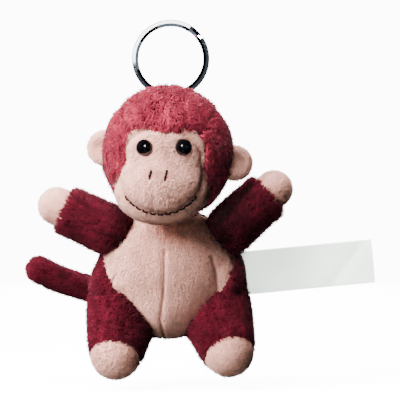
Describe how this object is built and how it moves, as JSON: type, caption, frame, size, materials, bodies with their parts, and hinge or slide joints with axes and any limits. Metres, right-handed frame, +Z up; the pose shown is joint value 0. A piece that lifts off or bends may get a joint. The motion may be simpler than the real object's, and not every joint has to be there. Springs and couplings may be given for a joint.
{
  "type": "plush monkey key ring",
  "caption": "Small sitting plush monkey with raised arms, a tail and a satin side label, hanging by a fabric loop from a steel split ring.",
  "frame": {"origin": "inside of the split ring at its top, where a hook or finger holds it", "axes": "+Z up along the hanging line, the face looks towards -Y, +X to the viewer's right"},
  "size_m": [0.1287, 0.0644, 0.1299],
  "materials": {
    "ring_steel": "polished",
    "crimson_ribbon": "woven",
    "crimson_plush": "short velour pile",
    "pink_plush": "short velour pile",
    "polyester_filling": "loose fibre",
    "black_eye": "polished",
    "white_washer": "moulded",
    "dark_thread": "twisted thread",
    "satin_label": "satin weave"
  },
  "bodies": {
    "ring": {"split_ring": "ring_steel"},
    "loop": {"ring_loop": "crimson_ribbon"},
    "head": {"crown_panel": "crimson_plush", "head_side_left": "crimson_plush", "head_side_right": "crimson_plush", "head_back_panel": "crimson_plush", "face_panel": "pink_plush", "chin_panel": "pink_plush", "ear_left_front": "pink_plush", "ear_left_back": "pink_plush", "ear_right_front": "pink_plush", "ear_right_back": "pink_plush", "eye_left": "black_eye", "eye_right": "black_eye", "eye_washer_left": "white_washer", "eye_washer_right": "white_washer", "nostril_stitches": "dark_thread", "mouth_stitches": "dark_thread", "head_stuffing": "polyester_filling"},
    "torso": {"belly_panel": "pink_plush", "back_panel_left": "crimson_plush", "back_panel_right": "crimson_plush", "torso_stuffing": "polyester_filling"},
    "arm_left": {"sleeve_left": "crimson_plush", "hand_left": "pink_plush", "arm_left_stuffing": "polyester_filling"},
    "arm_right": {"sleeve_right": "crimson_plush", "hand_right": "pink_plush", "arm_right_stuffing": "polyester_filling"},
    "leg_left": {"leg_left_panel": "crimson_plush", "foot_left": "pink_plush", "leg_left_stuffing": "polyester_filling"},
    "leg_right": {"leg_right_panel": "crimson_plush", "foot_right": "pink_plush", "leg_right_stuffing": "polyester_filling"},
    "tail": {"tail_cover": "crimson_plush", "tail_stuffing": "polyester_filling"},
    "label": {"label": "satin_label"}
  },
  "joints": [
    {"name": "loop_on_ring", "type": "hinge", "parent": "ring", "child": "loop", "pos_m": [0, 0, -0.012], "axis": [0, 1, 0], "continuous": true},
    {"name": "swing", "type": "hinge", "parent": "loop", "child": "head", "pos_m": [0, 0, -0.0282], "axis": [1, 0, 0], "range_deg": [-8, 15]},
    {"name": "head_turn", "type": "hinge", "parent": "head", "child": "torso", "pos_m": [-0.0011, -0.0085, -0.068], "axis": [0, 0, 1], "range_deg": [-15, 15], "stiffness_Nm_per_rad": 0.02},
    {"name": "arm_left_lift", "type": "hinge", "parent": "torso", "child": "arm_left", "pos_m": [-0.023, -0.0005, -0.0742], "axis": [0, 1, 0], "range_deg": [-25, 20], "stiffness_Nm_per_rad": 0.01},
    {"name": "arm_right_lift", "type": "hinge", "parent": "torso", "child": "arm_right", "pos_m": [0.022, -0.0005, -0.0736], "axis": [0, -1, 0], "range_deg": [-30, 8], "stiffness_Nm_per_rad": 0.01},
    {"name": "leg_left_lift", "type": "hinge", "parent": "torso", "child": "leg_left", "pos_m": [-0.0172, 0.002, -0.103], "axis": [-1, 0, 0], "range_deg": [-10, 10], "stiffness_Nm_per_rad": 0.02},
    {"name": "leg_right_lift", "type": "hinge", "parent": "torso", "child": "leg_right", "pos_m": [0.0176, 0.002, -0.1026], "axis": [-1, 0, 0], "range_deg": [-10, 10], "stiffness_Nm_per_rad": 0.02},
    {"name": "tail_lift", "type": "hinge", "parent": "torso", "child": "tail", "pos_m": [-0.005, 0.027, -0.0995], "axis": [0, 1, 0], "range_deg": [-20, 15], "stiffness_Nm_per_rad": 0.006},
    {"name": "label_flap", "type": "hinge", "parent": "torso", "child": "label", "pos_m": [0.0264, 0.0095, -0.0907], "axis": [0, 0, 1], "range_deg": [-45, 60], "stiffness_Nm_per_rad": 0.0008}
  ]
}
